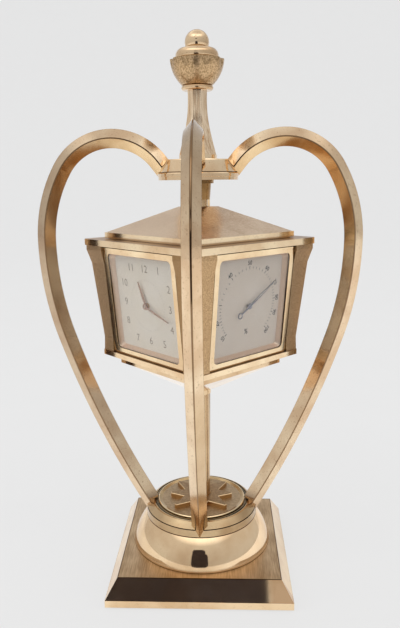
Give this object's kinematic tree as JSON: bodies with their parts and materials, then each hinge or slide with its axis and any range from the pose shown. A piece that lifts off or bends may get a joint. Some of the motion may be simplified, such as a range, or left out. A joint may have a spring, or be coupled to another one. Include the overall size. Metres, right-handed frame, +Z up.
{
  "type": "table clock",
  "caption": "Brass desk clock and weather station: a four-faced lantern of dials turns on a post inside a heart-shaped cage of bars on a domed square base",
  "frame": {"origin": "centre of the base's underside, on the table", "axes": "+Z up along the post, -Y to the front bar, +X to the right bar; at rest the lantern's corners point at the bars and its dials face the diagonals"},
  "size_m": [0.178, 0.178, 0.2999],
  "materials": {
    "polished_brass": "polished pale gold",
    "satin_brass": "fine brushed",
    "aged_brass": "tarnished and matt",
    "steel": "turned",
    "iron": "painted",
    "felt": "dark felt",
    "crystal": "clear polished",
    "ivory_dial": "satin ivory print",
    "stone_dial": "satin grey-beige print",
    "copper_hand": "rose polished",
    "blued_steel": "blued",
    "black_paint": "satin black"
  },
  "bodies": {
    "stand": {"plinth": "satin_brass", "base_weight": "iron", "base_nut": "steel", "base_felt": "felt", "dome": "satin_brass", "collar": "polished_brass", "compass_dish": "aged_brass", "compass_star": "aged_brass", "cage_bar_front": "polished_brass", "cage_bar_right": "polished_brass", "cage_bar_back": "polished_brass", "cage_bar_left": "polished_brass", "cage_screws": "steel", "hub": "polished_brass", "spire_foot": "polished_brass", "spire": "polished_brass", "neck_ring": "polished_brass", "finial_cup": "polished_brass", "finial_cushion": "polished_brass", "finial_ball": "polished_brass", "tie_rod": "steel", "centre_post": "polished_brass", "post_collars": "polished_brass"},
    "lantern": {"top_plate": "polished_brass", "roof": "polished_brass", "bottom_plate": "polished_brass", "keel": "polished_brass", "bushes": "satin_brass", "corner_posts": "satin_brass", "lantern_screws": "steel", "dial_panels": "satin_brass", "instrument_bezels": "polished_brass", "instrument_crystals": "crystal", "hygro_dial": "stone_dial", "baro_dial": "stone_dial", "thermo_dial": "stone_dial", "instrument_cups": "black_paint", "bimetal_coils": "satin_brass", "baro_capsule": "satin_brass"},
    "clock_unit": {"clock_bezel": "polished_brass", "clock_crystal": "crystal", "clock_dial": "ivory_dial", "clock_case": "black_paint", "movement_plates": "satin_brass", "movement_pillars": "satin_brass", "escapement_box": "steel"},
    "minute_work": {"minute_arbor": "steel", "minute_hand": "copper_hand", "set_knob": "polished_brass"},
    "hour_work": {"hour_pipe": "satin_brass", "hour_hand": "copper_hand"},
    "motion_work": {"motion_wheel": "satin_brass"},
    "mainspring_barrel": {"barrel": "satin_brass"},
    "winder": {"winding_arbor": "steel", "winding_key": "polished_brass"},
    "hygro_needle": {"hygro_pointer": "blued_steel"},
    "baro_needle": {"baro_pointer": "blued_steel"},
    "thermo_needle": {"thermo_pointer": "blued_steel"}
  },
  "joints": [
    {"name": "lantern_turn", "type": "hinge", "parent": "stand", "child": "lantern", "pos_m": [0, 0, 0.16], "axis": [0, 0, 1], "continuous": true},
    {"name": "clock_pull", "type": "slide", "parent": "lantern", "child": "clock_unit", "axis": [-0.704, -0.704, -0.0938], "range_m": [0, 0.02]},
    {"name": "minute_spin", "type": "hinge", "parent": "clock_unit", "child": "minute_work", "pos_m": [-0.02301, -0.02301, 0.16078], "axis": [-0.704, -0.704, -0.0938], "continuous": true},
    {"name": "hour_spin", "type": "hinge", "parent": "clock_unit", "child": "hour_work", "pos_m": [-0.02301, -0.02301, 0.16078], "axis": [-0.704, -0.704, -0.0938], "continuous": true},
    {"name": "motion_spin", "type": "hinge", "parent": "clock_unit", "child": "motion_work", "pos_m": [-0.01955, -0.02549, 0.15353], "axis": [-0.704, -0.704, -0.0938], "continuous": true},
    {"name": "barrel_spin", "type": "hinge", "parent": "clock_unit", "child": "mainspring_barrel", "pos_m": [-0.02089, -0.02089, 0.1716], "axis": [-0.704, -0.704, -0.0938], "continuous": true},
    {"name": "winder_spin", "type": "hinge", "parent": "clock_unit", "child": "winder", "pos_m": [-0.02089, -0.02089, 0.1716], "axis": [-0.704, -0.704, -0.0938], "continuous": true},
    {"name": "hygro_turn", "type": "hinge", "parent": "lantern", "child": "hygro_needle", "pos_m": [0.02301, -0.02301, 0.16078], "axis": [0.704, -0.704, -0.0938], "range_deg": [-77.5, 192.5]},
    {"name": "baro_turn", "type": "hinge", "parent": "lantern", "child": "baro_needle", "pos_m": [0.02301, 0.02301, 0.16078], "axis": [0.704, 0.704, -0.0938], "range_deg": [-115, 155]},
    {"name": "thermo_turn", "type": "hinge", "parent": "lantern", "child": "thermo_needle", "pos_m": [-0.02301, 0.02301, 0.16078], "axis": [-0.704, 0.704, -0.0938], "range_deg": [-150, 120]}
  ],
  "couplings": [
    {"joint": "hour_spin", "follows": "minute_spin", "ratio": 0.083333},
    {"joint": "motion_spin", "follows": "minute_spin", "ratio": -0.33333},
    {"joint": "barrel_spin", "follows": "minute_spin", "ratio": -0.16667}
  ]
}
